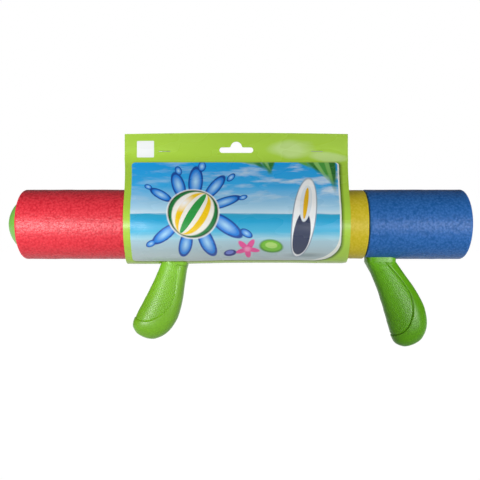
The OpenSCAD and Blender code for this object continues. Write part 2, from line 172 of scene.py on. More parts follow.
def shade(colour, factor):
    """Darker (below 1) or paler (above 1) neighbour of a linear colour."""
    if factor <= 1:
        return tuple(c * factor for c in colour[:3]) + (1.0,)
    return tuple(c + (1 - c) * (factor - 1) for c in colour[:3]) + (1.0,)


def add(tree, kind, inputs=None, stops=None, **settings):
    """Adds a node with its settings, its ramp stops and its inputs: values, links or lists of links."""
    made = tree.nodes.new(kind)
    for name, value in settings.items():
        setattr(made, name, value)
    for i, (place, colour) in enumerate(stops or []):
        ramp = made.color_ramp.elements
        stop = ramp[i] if i < 2 else ramp.new(place)
        stop.position = place
        stop.color = colour
    for key, given in (inputs or {}).items():
        for value in given if isinstance(given, list) else [given]:
            if isinstance(value, bpy.types.Node):
                value = value.outputs[0]
            if isinstance(value, bpy.types.NodeSocket):
                tree.links.new(value, made.inputs[key])
            else:
                made.inputs[key].default_value = value
    return made


def calc(tree, operation, *values):
    """Adds a calculation on numbers."""
    return add(tree, "ShaderNodeMath", dict(enumerate(values)), operation=operation)


def vector(tree, operation, *values):
    """Adds a calculation on vectors."""
    return add(tree, "ShaderNodeVectorMath", dict(enumerate(values)), operation=operation)


def xyz(tree, x=0.0, y=0.0, z=0.0):
    """Adds a vector made of three numbers."""
    return add(tree, "ShaderNodeCombineXYZ", {0: x, 1: y, 2: z})


def remap(tree, value, low, high, to_low=0.0, to_high=1.0):
    """Adds a clamped map from one range to another."""
    return add(tree, "ShaderNodeMapRange", {
        "Value": value, "From Min": low, "From Max": high, "To Min": to_low, "To Max": to_high})


def mix(tree, share, first, second):
    """Adds a mix of two colours."""
    return add(tree, "ShaderNodeMix", {0: share, 6: first, 7: second}, data_type="RGBA").outputs[2]


def grain(tree, place, size, detail, roughness=0.5, distortion=0.0, stretch=None):
    """Adds noise of about this size, drawn out by a stretch."""
    if stretch:
        place = add(tree, "ShaderNodeMapping", {"Vector": place, "Scale": stretch})
    return add(tree, "ShaderNodeTexNoise", {
        "Vector": place, "Scale": 1 / size, "Detail": detail, "Roughness": roughness,
        "Distortion": distortion})


def dents(tree, height, strength, depth, invert=False):
    """Adds a bump."""
    return add(tree, "ShaderNodeBump", {"Height": height, "Strength": strength, "Distance": depth},
               invert=invert)


def new_material(name):
    """Empty node material and its tree."""
    material = bpy.data.materials.new(name)
    material.use_nodes = True
    material.node_tree.nodes.clear()
    return material, material.node_tree


def on_object(tree):
    """Adds the coordinates of the object itself."""
    return add(tree, "ShaderNodeTexCoord").outputs["Object"]


def coat(material, inputs):
    """Ends a material in one surface."""
    surface = add(material.node_tree, "ShaderNodeBsdfPrincipled", inputs)
    add(material.node_tree, "ShaderNodeOutputMaterial", {"Surface": surface})
    return material


def new_group(name, numbers, vectors=()):
    """Empty Geometry Nodes tree with named inputs, and the sockets that give them."""
    tree = bpy.data.node_groups.new(name, "GeometryNodeTree")
    sockets = [("Geometry", "OUTPUT", "Geometry"), ("Geometry", "INPUT", "Geometry")]
    sockets += [(label, "INPUT", "Float") for label in numbers]
    sockets += [(label, "INPUT", "Vector") for label in vectors]
    for label, side, kind in sockets:
        tree.interface.new_socket(label, in_out=side, socket_type="NodeSocket" + kind)
    return tree, add(tree, "NodeGroupInput").outputs


def move(tree, shape, place, **turns):
    """Adds a move of a shape, with its turn or scale."""
    return add(tree, "GeometryNodeTransform", {"Geometry": shape, "Translation": place, **turns})


def end_group(tree, shape, material):
    """Ends a Geometry Nodes tree with the material."""
    made = add(tree, "GeometryNodeSetMaterial", {"Geometry": shape, "Material": material})
    add(tree, "NodeGroupOutput", {0: made})
    return tree


# Materials

def closed_cell_foam(name, colour, cell, relief, gloss):
    """Extruded polyethylene foam: a dull skin of burst and whole cells that breaks its sheen into specks."""
    material, tree = new_material(name)
    place = on_object(tree)
    cells = add(tree, "ShaderNodeTexVoronoi", {"Vector": place, "Scale": 1 / cell, "Randomness": 1.0})
    fine = grain(tree, place, cell / 1.6, 2.0)
    patch = grain(tree, place, 14 * MM, 1.0)
    speck = calc(tree, "MULTIPLY", cells.outputs["Distance"], fine)
    tone = remap(tree, speck, 0.08, 0.42)
    skin = mix(tree, tone, shade(colour, 1.03), shade(colour, 1 - 0.34 * relief))
    faded = remap(tree, patch, 0.35, 0.7, 0.0, 0.25)
    return coat(material, {
        "Base Color": mix(tree, faded, skin, shade(colour, 1.02)), "IOR": 1.5, "Specular IOR Level": gloss,
        "Roughness": remap(tree, fine, 0.3, 0.7, 0.38, 0.52),
        "Normal": dents(tree, speck, 1.0, 0.5 * relief * MM, invert=True)})


def moulded_plastic(name, colour, gloss, line=0.0):
    """Injection moulded plastic: an even satin gloss with faint orange peel and slow flow marks.

    On the grips a dark line of painted shade in the step round the finger panel and under the neck's ledge
    follows the panel attribute.
    """
    material, tree = new_material(name)
    place = on_object(tree)
    flow = grain(tree, place, 22 * MM, 2.0, distortion=0.6)
    peel = grain(tree, place, 0.9 * MM, 1.0)
    skin = mix(tree, remap(tree, flow, 0.3, 0.7), shade(colour, 0.91), colour)
    if line:
        panel = add(tree, "ShaderNodeAttribute", attribute_name="panel").outputs["Fac"]
        away = calc(tree, "ABSOLUTE", calc(tree, "SUBTRACT", panel, STEP_SHADE_LINE))
        # Painted shade: the colour darkens to near black along the panel's step and under the neck's ledge,
        # where shade falls
        skin = mix(tree, remap(tree, away, 0.7, 0.2, 0.0, line), skin, shade(colour, 0.12))
    return coat(material, {
        "Base Color": skin, "IOR": 1.53, "Specular IOR Level": gloss,
        "Roughness": remap(tree, flow, 0.25, 0.75, 0.32, 0.41), "Normal": dents(tree, peel, 0.12, 0.05 * MM)})


def drawn_pipe(name, colour):
    """Extruded polypropylene pipe: milky white, with fine draw lines along its length."""
    material, tree = new_material(name)
    place = on_object(tree)
    lines = grain(tree, place, 1.4 * MM, 2.0, stretch=(0.02, 1.0, 1.0))
    return coat(material, {
        "Base Color": mix(tree, remap(tree, lines, 0.3, 0.7), shade(colour, 0.92), colour), "IOR": 1.49,
        "Roughness": remap(tree, lines, 0.3, 0.7, 0.24, 0.38), "Normal": dents(tree, lines, 0.15, 0.05 * MM)})


def pressed_rubber(name, colour):
    """Nitrile rubber: near black and dull, with a bloom of talc in its grain."""
    material, tree = new_material(name)
    place = on_object(tree)
    talc = grain(tree, place, 0.6 * MM, 3.0)
    return coat(material, {
        "Base Color": mix(tree, remap(tree, talc, 0.45, 0.75), colour, shade(colour, 1.06)), "IOR": 1.52,
        "Roughness": 0.7, "Normal": dents(tree, talc, 0.3, 0.06 * MM)})


def plated_steel(name, colour):
    """Zinc plated steel: a grey metal with a soft, slightly uneven shine."""
    material, tree = new_material(name)
    place = on_object(tree)
    haze = grain(tree, place, 0.8 * MM, 3.0)
    return coat(material, {
        "Base Color": mix(tree, remap(tree, haze, 0.3, 0.7), shade(colour, 0.85), colour), "Metallic": 1.0,
        "Roughness": remap(tree, haze, 0.3, 0.7, 0.25, 0.45)})


def raw_card(name, colour):
    """Unprinted folding boxboard: grey white pulp with short fibres, inside the loop and on cut edges."""
    material, tree = new_material(name)
    place = on_object(tree)
    pulp = grain(tree, place, 1.2 * MM, 4.0)
    return coat(material, {
        "Base Color": mix(tree, remap(tree, pulp, 0.3, 0.7), shade(colour, 0.88), colour), "IOR": 1.45,
        "Roughness": 0.85, "Normal": dents(tree, pulp, 0.25, 0.06 * MM)})


# Ovals of the printed picture, in card millimetres: across, down, half sizes, turn, colour
LEAVES = [
    (170, 22, 24, 3.4, 0.95, "#2f7a33"), (182, 24, 27, 3.6, 1.20, "#4a9a40"),
    (193, 27, 30, 3.8, 1.50, "#2c7031"), (158, 22, 20, 3.0, 0.62, "#5aa548"),
    (176, 24, 24, 2.0, 1.08, "#86bf66"), (188, 26, 26, 2.0, 1.36, "#7cb85e"),
    (118, 24, 17, 3.0, 0.70, "#2f7a4a"), (128, 22, 19, 3.2, 1.15, "#3d8a44"),
    (138, 23, 17, 3.0, 1.75, "#2f7a3a"), (109, 25, 14, 2.6, 0.35, "#58a26a"),
    (129, 22, 15, 1.5, 1.15, "#83ba74"),
]
# Sky, sea and sand: share of the span of the picture, in card millimetres, and colour, the two ends first
BEACH_SPAN = (24.0, 138.0)
BEACH = [
    (0.0, "#0099e6"), (1.0, "#bcc6c9"), (0.28, "#37acea"), (0.50, "#a9d3ea"), (0.535, "#c4dcea"),
    (0.545, "#2f9fc4"), (0.60, "#1fa4d4"), (0.68, "#48b6dc"), (0.735, "#a6d6e6"), (0.76, "#a9cbd9"),
    (0.88, "#b4c7cd"),
]
SPLASH = [
    (50, 55, 13, 5.0, 1.32), (66, 51, 15, 5.6, 1.62), (84, 57, 13, 4.6, 2.15), (93, 74, 13, 4.2, 2.75),
    (94, 96, 15, 5.4, -2.55), (77, 112, 14, 5.6, -1.95), (57, 114, 12, 5.0, -1.35), (38, 104, 12, 4.4, -0.65),
    (34, 66, 10, 3.8, 0.60), (50, 38, 4.4, 2.6, 1.3), (72, 33, 5.0, 3.0, 1.7), (99, 46, 4.6, 2.4, 2.2),
    (110, 69, 3.6, 2.2, 2.7), (113, 103, 5.2, 2.8, -2.6), (22, 57, 3.2, 2.2, 0.6), (25, 113, 4.2, 2.6, -0.6),
]
# Dark rim, blue water and pale heart of the splash: reach where each starts and where it is full
SPLASH_INKS = [(1.28, 1.18, "#15479c"), (1.02, 0.92, "#2382df"), (0.85, 0.1, "#a5d6fa")]
BALL = (64, 84, 22)
BALL_TURN = 0.55
BALL_GORES = [(1.0, "#1f7a3c"), (0.84, "#f4f1e6"), (0.62, "#f3c917"), (0.36, "#f4f1e6"), (0.17, "#2f9a45")]
BOARD = (166, 88, 10.5, 41, 0.14)
BOARD_BANDS = [(0, 1.05, 1.02, "#8a99ad"), (0, 0.96, 0.99, "#f2f4f4"), (17, 0.74, 0.52, "#333c58"),
               (-14, 0.52, 0.46, "#dfe6ea"), (-14, 0.20, 0.40, "#e2b21c")]
STAR = (114, 119, 10.5, "#e8559b")
SHELLS = [
    (136, 116, 11.0, 7.4, 0.15, "#4f8f2a"), (136, 115.4, 9.4, 5.8, 0.15, "#79c236"),
    (136, 114.6, 5.6, 3.2, 0.15, "#b6e07a"), (98, 124, 6.0, 4.2, -0.3, "#27317f"),
    (97.6, 123.2, 3.8, 2.4, -0.3, "#6f7fd0"),
]
# Painted glare on the border: paler ovals where the reflection of the softboxes is painted into the print
PAINTED_GLARE_OVALS = [(154, 15, 24, 8.5, 0.0), (192, 23, 20, 5.0, 0.12)]
# Windows in the border: middle, half sizes, corner, lower rear corner, softness, colour. They are the
# picture's shadow, its white line, the picture, which has no colour here, and the header's bare square
WINDOWS = [
    ((104.8, 82.6), (97.2, 54.0), 3.4, 25.0, 1.5, "#4b6a1c"),
    ((103.4, 81.8), (96.7, 53.4), 3.4, 25.0, 0.2, "#e9ece6"),
    ((102.6, 81.5), (96.1, 53.2), 3.4, 31.0, 0.2, None),
    ((19.4, 15.0), (8.0, 8.0), 1.0, 1.0, 0.2, "#eef1f2"),
]


def picture_ovals():
    """The picture's single ovals from back to front, with the softness of their edge."""
    across, down, radius = BALL
    ovals = [(across, down, radius + 2.2, radius + 2.2, 0, "#f7f7f2", 0.03),
             (across, down, radius + 1.2, radius + 1.2, 0, "#123f23", 0.03)]
    ovals += [(across, down, radius * share, radius, BALL_TURN, code, 0.03) for share, code in BALL_GORES]
    ovals.append((across - 8, down - 9, 6, 4, -0.7, "#ffffff", 0.9))
    across, down, wide, long, turn = BOARD
    ovals.append((across + 3, down + long - 2, 15, 2.6, 0, "#93a4a8", 0.6))
    ovals += [(across - step * math.sin(turn), down + step * math.cos(turn), wide * w, long * l, turn,
               code, 0.03) for step, w, l, code in BOARD_BANDS]
    across, down, radius, code = STAR
    for arm in range(5):
        turn = math.tau * arm / 5 + 0.2
        ovals.append((across + 0.5 * radius * math.cos(turn), down + 0.5 * radius * math.sin(turn),
                      0.62 * radius, 0.26 * radius, turn, code, 0.12))
    ovals.append((across, down, 0.26 * radius, 0.26 * radius, 0, "#f59bc6", 0.5))
    return ovals + [(*shell, 0.10) for shell in SHELLS]


def oval_reach(tree, spot, x, y, long, short, turn):
    """How far a spot lies from the middle of an oval, 1 at its edge."""
    local = add(tree, "ShaderNodeMapping", {
        "Vector": spot, "Location": (x, y, 0.0), "Rotation": (0.0, 0.0, turn), "Scale": (long, short, 1.0)},
        vector_type="TEXTURE")
    return vector(tree, "LENGTH", local).outputs["Value"]


def paint(tree, ground, reach, outer, inner, ink):
    """Lays an ink over the ground, from nothing at the outer reach to full at the inner one."""
    return mix(tree, remap(tree, reach, outer, inner), ground, ink)


def printed_card(name, green, width, length):
    """Offset printed and varnished boxboard: flat bright inks under a thin gloss, which bows a little."""
    material, tree = new_material(name)
    sheet = add(tree, "ShaderNodeSeparateXYZ", {0: add(tree, "ShaderNodeUVMap", uv_map="print")})
    across, along = sheet.outputs[0], sheet.outputs[1]
    # The back half of the sheet carries the same print, turned so that it reads the right way round
    rest = calc(tree, "SUBTRACT", length, along)
    down = calc(tree, "MINIMUM", along, rest).outputs[0]
    back = calc(tree, "GREATER_THAN", along, length / 2)
    other = calc(tree, "SUBTRACT", width, across)
    over = add(tree, "ShaderNodeMix", {0: back, 2: across, 3: other}, data_type="FLOAT").outputs[0]
    spot = xyz(tree, over, down)

    # Sky, sea and sand from top to bottom, with streaks drawn out along the card
    cloud = grain(tree, spot, 1.0, 4.0, roughness=0.55, stretch=(1 / 34, 1 / 9, 1.0))
    wave = grain(tree, spot, 1.0, 3.0, stretch=(1 / 26, 1 / 1.8, 1.0))
    level = calc(tree, "ADD", down, calc(tree, "MULTIPLY_ADD", wave, 3.0, -1.5))
    stops = [(place, linear(code)) for place, code in BEACH]
    scene = add(tree, "ShaderNodeValToRGB", {0: remap(tree, level, *BEACH_SPAN)}, stops=stops).outputs[0]
    # Clouds in the sky only, thicker towards the rear
    puff = remap(tree, cloud, 0.5, 0.72)
    sky = remap(tree, down, 84.0, 60.0)
    haze = remap(tree, over, 40.0, 190.0, 0.35, 1.0)
    puff = calc(tree, "MULTIPLY", calc(tree, "MULTIPLY", puff, sky), haze)
    scene = mix(tree, puff, scene, linear("#e6eef4"))
    for *oval, code in LEAVES:
        scene = paint(tree, scene, oval_reach(tree, spot, *oval), 1.25, 0.75, linear(code))
    # Drops that run together into one splash
    splash = oval_reach(tree, spot, *SPLASH[0])
    for oval in SPLASH[1:]:
        splash = calc(tree, "SMOOTH_MIN", splash, oval_reach(tree, spot, *oval), 0.25)
    for outer, inner, code in SPLASH_INKS:
        scene = paint(tree, scene, splash, outer, inner, linear(code))
    for *oval, code, soft in picture_ovals():
        scene = paint(tree, scene, oval_reach(tree, spot, *oval), 1 + soft, 1 - soft, linear(code))

    # Green border with paler drifts from noise in the print and from the painted glare ovals, then the
    # windows in it
    bow = grain(tree, spot, 1.0, 1.5, stretch=(1 / 40, 1 / 18, 1.0))
    drift_and_glare = calc(tree, "MINIMUM", *[oval_reach(tree, spot, *oval) for oval in PAINTED_GLARE_OVALS])
    drift_and_glare = calc(tree, "MULTIPLY_ADD", bow, 1.5, drift_and_glare)
    # Painted reflection: the paler green of the glare ovals stands in for the softboxes' glare on the varnish
    ink = mix(tree, remap(tree, drift_and_glare, 1.85, 1.3, 0.0, 0.7), green, shade(green, 1.26))
    # The lower rear corner of the windows is rounder than the others
    rearward = calc(tree, "GREATER_THAN", over, 110.0)
    lower = calc(tree, "GREATER_THAN", down, 85.0)
    quarter = calc(tree, "MULTIPLY", rearward, lower)
    for centre, half, corner, last_corner, soft, code in WINDOWS:
        turn = calc(tree, "MULTIPLY_ADD", quarter, last_corner - corner, corner)
        away = vector(tree, "ABSOLUTE", vector(tree, "SUBTRACT", spot, (*centre, 0.0)))
        away = vector(tree, "SUBTRACT", away, vector(tree, "SUBTRACT", (*half, 99.0), turn))
        away = vector(tree, "MAXIMUM", away, (0.0, 0.0, 0.0))
        reach = calc(tree, "SUBTRACT", vector(tree, "LENGTH", away).outputs["Value"], turn)
        ink = paint(tree, ink, reach, soft, -soft, linear(code) if code else scene)
    return coat(material, {
        "Base Color": ink, "IOR": 1.5, "Roughness": remap(tree, bow, 0.3, 0.7, 0.22, 0.32),
        "Normal": dents(tree, bow, 0.5, 1.5 * MM)})


# Meshes

def new_object(name, points, faces, edges=()):
    """Links a mesh object whose place is in its mesh, with its faces turned outwards."""
    mesh = bpy.data.meshes.new(name)
    mesh.from_pydata([tuple(p) for p in points], edges, faces)
    work = bmesh.new()
    work.from_mesh(mesh)
    bmesh.ops.recalc_face_normals(work, faces=work.faces)
    work.to_mesh(mesh)
    work.free()
    made = bpy.data.objects.new(name, mesh)
    bpy.context.scene.collection.objects.link(made)
    return made


def bake_modifiers(piece):
    """Makes the modifiers' result the piece's own plain mesh."""
    graph = bpy.context.evaluated_depsgraph_get()
    result = piece.evaluated_get(graph)
    mesh = bpy.data.meshes.new_from_object(result, preserve_all_data_layers=True, depsgraph=graph)
    piece.modifiers.clear()
    old, piece.data = piece.data, mesh
    bpy.data.meshes.remove(old)
    mesh.name = piece.name


def cut_away(piece, cutters):
    """Takes the cutters out of the piece and removes them."""
    for cutter in cutters:
        cut = piece.modifiers.new("cut", "BOOLEAN")
        cut.object = cutter
        cut.solver = "EXACT"
        cut.operation = "DIFFERENCE"
    bake_modifiers(piece)
    for cutter in cutters:
        bpy.data.objects.remove(cutter)


def prism(outline, low, high, axis):
    """Closed prism over an outline, from low to high along Y or Z; the outline holds the other two."""
    def point(p, level):
        return (p[0], level, p[1]) if axis == "Y" else (p[0], p[1], level)
    n = len(outline)
    points = [point(p, low) for p in outline] + [point(p, high) for p in outline]
    faces = [list(range(n)), list(range(n, 2 * n))]
    faces += [[i, (i + 1) % n, n + (i + 1) % n, n + i] for i in range(n)]
    return new_object("cutter", points, faces)


def run_tree(piece, tree, values):
    """Runs a Geometry Nodes tree on the piece with values for its named inputs, then bakes it."""
    run = piece.modifiers.new(tree.name, "NODES")
    run.node_group = tree
    for item in tree.interface.items_tree:
        if item.name in values:
            run[item.identifier] = values[item.name]
    bake_modifiers(piece)


def settle(piece, nodes, sharp=40.0):
    """Smooth shading with sharp edges, then the piece rides with the body of the nodes it stands for."""
    piece.data.polygons.foreach_set("use_smooth", [True] * len(piece.data.polygons))
    piece.data.set_sharp_from_angle(angle=math.radians(sharp))
    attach(piece, frame["nodes"][nodes[0]]["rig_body"])
    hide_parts(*nodes)


def soft_outline(half_l, half_w, roundness, count):
    """Closed outline between an ellipse and a box."""
    turns = [math.tau * i / count for i in range(count)]
    power = 2 / roundness
    return [(half_l * math.copysign(abs(math.cos(t)) ** power, math.cos(t)),
             half_w * math.copysign(abs(math.sin(t)) ** power, math.sin(t))) for t in turns]


def run_along(line):
    """Distance of each point of a line from its start."""
    return np.concatenate([[0], np.cumsum(np.hypot(*np.diff(line, axis=0).T))])


def even_steps(line, count):
    """Points at even steps along a line."""
    run = run_along(line)
    even = np.linspace(0, run[-1], count)
    return np.stack([np.interp(even, run, line[:, 0]), np.interp(even, run, line[:, 1])], axis=1)


def half_outline(half_l, half_w, roundness, count):
    """Half of the same outline, from the back over the side to the front, in even steps."""
    turn = np.linspace(0, math.pi, 400)
    power = 2 / roundness
    x = half_l * np.sign(np.cos(turn)) * np.abs(np.cos(turn)) ** power
    y = half_w * np.abs(np.sin(turn)) ** power
    return even_steps(np.stack([x, y], axis=1), count).T


def smooth_rows(rows, steps):
    """Curve through rows of numbers, cut into equal steps between them."""
    rows = np.asarray(rows, float)
    ends = np.vstack([rows[:1], rows, rows[-1:]])
    made = []
    for i in range(len(rows) - 1):
        a, b, c, d = ends[i:i + 4]
        for u in np.arange(steps) / steps:
            made.append((2 * b + (c - a) * u + (2 * a - 5 * b + 4 * c - d) * u ** 2
                         + (3 * b - a - 3 * c + d) * u ** 3) / 2)
    return np.array(made + [rows[-1]])


def ease(low, high, value):
    """Smooth step from 0 at low to 1 at high."""
    t = np.clip((np.asarray(value, float) - low) / (high - low), 0, 1)
    return t * t * (3 - 2 * t)


def grip_pivot(end):
    """Middle of the neck's lower end."""
    grip = GRIPS[end]
    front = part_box(grip["sleeve"])[0].x
    return Vector((front + (NECK_SETBACK + NECK_LENGTH * grip["size"] / 2) * MM, 0,
                   -(FOAM_RADIUS + grip["drop"]) * MM))


def grip_point(end, offset, down, across):
    """Place in the frame of a point given in the grip's own millimetres."""
    grip, pivot = GRIPS[end], grip_pivot(end)
    cos, sin = math.cos(grip["rake"]), math.sin(grip["rake"])
    size = grip["size"] * MM
    return Vector((pivot.x + (offset * cos + down * sin) * size, across * size,
                   pivot.z + (offset * sin - down * cos) * size))


def panel_depth(offset, down):
    """How far inside the finger panel's edge points lie, in millimetres; negative outside."""
    edge = smooth_rows(PANEL_EDGE, 8)
    near = np.full(offset.shape, 1e9)
    for (x0, y0), (x1, y1) in zip(edge[:-1], edge[1:]):
        dx, dy = x1 - x0, y1 - y0
        t = np.clip(((offset - x0) * dx + (down - y0) * dy) / (dx * dx + dy * dy), 0, 1)
        near = np.minimum(near, np.hypot(offset - x0 - t * dx, down - y0 - t * dy))
    loop = np.vstack([edge, [(-90, edge[-1][1]), (-90, edge[0][1])]])
    inside = np.zeros(offset.shape, bool)
    for (x0, y0), (x1, y1) in zip(loop, np.roll(loop, -1, axis=0)):
        crosses = (y0 > down) != (y1 > down)
        with np.errstate(divide="ignore", invalid="ignore"):
            at = x0 + (down - y0) * (x1 - x0) / (y1 - y0)
        inside ^= crosses & (offset < at)
    return np.where(inside, near, -near)


def colour_setting(name, text, code):
    """Setting for a colour."""
    return FloatVectorProperty(
        name=name, description=text, subtype="COLOR", size=4, min=0, max=1, default=linear(code))


def length_setting(name, text, default, low, high):
    """Setting for a length, given in millimetres."""
    return FloatProperty(
        name=name, description=text, unit="LENGTH", default=default * MM, min=low * MM, max=high * MM)


def power_setting(name, text, default):
    """Setting for the power of a lamp."""
    return FloatProperty(name=name, description=text, unit="POWER", default=default, min=0, max=100)


class SQUIRTER_PG_foam(bpy.types.PropertyGroup):
    """Finish of the foam sleeves"""
    front_colour: colour_setting("Front Sleeve", "Colour of the front foam sleeve", "#e41e33")
    middle_colour: colour_setting("Middle Sleeve", "Colour of the middle foam sleeve", "#cfba18")
    rear_colour: colour_setting("Rear Sleeve", "Colour of the rear foam sleeve", "#0e62b0")
    cell: length_setting("Cell", "Width of the foam's cells as they show on its skin", 2.3, 0.5, 6)
    ripple: length_setting("Ripple", "How far the skin swells and sinks", 0.16, 0, 1)


class SQUIRTER_PG_grips(bpy.types.PropertyGroup):
    """Finish and texture of the grips"""
    front_colour: colour_setting("Front Grip", "Colour of the front grip's shells", "#85c91e")
    # The rear grip's darker green is painted shade on the same plastic as the front grip
    rear_colour: colour_setting("Rear Grip", "Colour of the rear grip's shells", "#64ad06")
    recess: length_setting("Panel Recess", "Depth of the finger panel", 0.9, 0, 2)
    pip_pitch: length_setting("Pip Pitch", "Spacing of the pips on the finger panel", 1.5, 1, 6)
    pip_width: length_setting("Pip Width", "Width of a pip", 1.2, 0.3, 3)
    pip_height: length_setting("Pip Height", "How far a pip stands out", 0.25, 0, 1)


class SQUIRTER_PG_card(bpy.types.PropertyGroup):
    """Finish of the display card"""
    green: colour_setting("Border", "Colour of the printed border", "#a7cf40")
    bow: length_setting("Bow", "How far the wrapped sheet lifts off the foam in places", 0.6, 0, 2)
    columns: IntProperty(name="Columns", description="Steps along the barrel", default=112, min=8, max=200)


class SQUIRTER_PG_stage(bpy.types.PropertyGroup):
    """Camera and light"""
    lens: FloatProperty(name="Lens", description="Focal length on a 36 mm sensor, in millimetres",
                        subtype="DISTANCE_CAMERA", default=45, min=10, max=200)
    left_light: power_setting("Left Softbox", "Power of the softbox left of the camera", 0.314)
    right_light: power_setting("Right Softbox", "Power of the softbox right of the camera", 0.296)
    far_light: power_setting("Far Softbox", "Power of the softbox behind the squirter", 1.3)
    fill: FloatProperty(name="Room", description="Strength of the even light of the room",
                        default=0.17, min=0, max=2)


class SQUIRTER_OT_foam(bpy.types.Operator):
    """Model the three foam sleeves, with the notches for the necks of the grips"""
    bl_idname = "squirter.foam"
    bl_label = "Foam Sleeves"

    def execute(self, context):
        look = context.scene.squirter_foam
        # Finish, colour, relief of the cells, gloss, slot, grip whose neck is let in, front and rear edge
        finishes = {
            "front_foam_sleeve": ("Closed cell foam, red", look.front_colour, 0.8, 0.44, "red_foam", None,
                                  FOAM_END_EDGE, FOAM_EDGE),
            "middle_foam_sleeve": ("Closed cell foam, yellow", look.middle_colour, 0.4, 0.22, "yellow_foam",
                                   "front", FOAM_EDGE, FOAM_EDGE),
            "rear_foam_sleeve": ("Closed cell foam, blue", look.rear_colour, 0.9, 0.25, "blue_foam", "rear",
                                 FOAM_EDGE, FOAM_END_EDGE),
        }
        for node, (name, colour, relief, gloss, slot, grip, first_edge, last_edge) in finishes.items():
            piece = self.sleeve(node, first_edge * MM, last_edge * MM, look.ripple)
            if grip:
                self.notch(piece, grip)
            piece.data.materials.append(closed_cell_foam(name, tuple(colour), look.cell, relief, gloss))
            settle(piece, [node])
        return {"FINISHED"}

    def sleeve(self, node, first_edge, last_edge, ripple):
        """Turned tube with rounded cut edges whose skin swells and sinks a little."""
        low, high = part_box(node)
        front, rear, radius, bore = low.x, high.x, high.y, FOAM_BORE * MM
        step, around, end_steps, bore_steps = 1.25 * MM, 164, 8, 12
        long_swell, short_swell = 16 * MM, 5 * MM
        turn = np.linspace(0, math.pi / 2, end_steps)
        wall = np.linspace(front + first_edge, rear - last_edge, int((rear - front) / step))
        profile = [(front, r) for r in np.linspace(bore, radius - first_edge, end_steps)[:-1]]
        profile += [(front + first_edge * (1 - math.cos(t)), radius - first_edge * (1 - math.sin(t)))
                    for t in turn]
        profile += [(x, radius) for x in wall[1:-1]]
        profile += [(rear - last_edge * (1 - math.sin(t)), radius - last_edge * (1 - math.cos(t)))
                    for t in turn]
        profile += [(rear, r) for r in np.linspace(radius - last_edge, bore, end_steps)[1:]]
        profile += [(x, bore) for x in np.linspace(rear, front, bore_steps)[1:-1]]
        points, faces = [], []
        for x, r in profile:
            for k in range(around):
                turn_k = math.tau * k / around
                spot = Vector((x, r * math.cos(turn_k), r * math.sin(turn_k)))
                if r > bore + 0.5 * MM:
                    swell = noise.noise(spot / long_swell) + 0.5 * noise.noise(spot / short_swell) - 0.9
                    spot += Vector((0, spot.y, spot.z)).normalized() * swell * ripple
                points.append(spot)
        rings = len(profile)
        for i in range(rings):
            a, b = i * around, (i + 1) % rings * around
            faces += [(a + k, a + (k + 1) % around, b + (k + 1) % around, b + k) for k in range(around)]
        return new_object(node.replace("_sleeve", ""), points, faces)

    def notch(self, piece, end):
        """Cuts the slot in which the neck of a grip sits, open towards the front."""
        size, pivot = GRIPS[end]["size"], grip_pivot(end)
        half_l = (NECK_LENGTH / 2 * size + NECK_GAP) * MM
        half_w = (NECK_WIDTH / 2 * size + NECK_GAP) * MM
        rear_half = [(pivot.x + x, y) for x, y in soft_outline(half_l, half_w, NECK_ROUNDNESS, 64) if x > 0]
        rear_half.sort(key=lambda p: math.atan2(p[1], p[0] - pivot.x))
        outline = [(pivot.x - 2 * half_l, -half_w)] + rear_half + [(pivot.x - 2 * half_l, half_w)]
        cut_away(piece, [prism(outline, -2 * FOAM_RADIUS * MM, 0.0, "Z")])


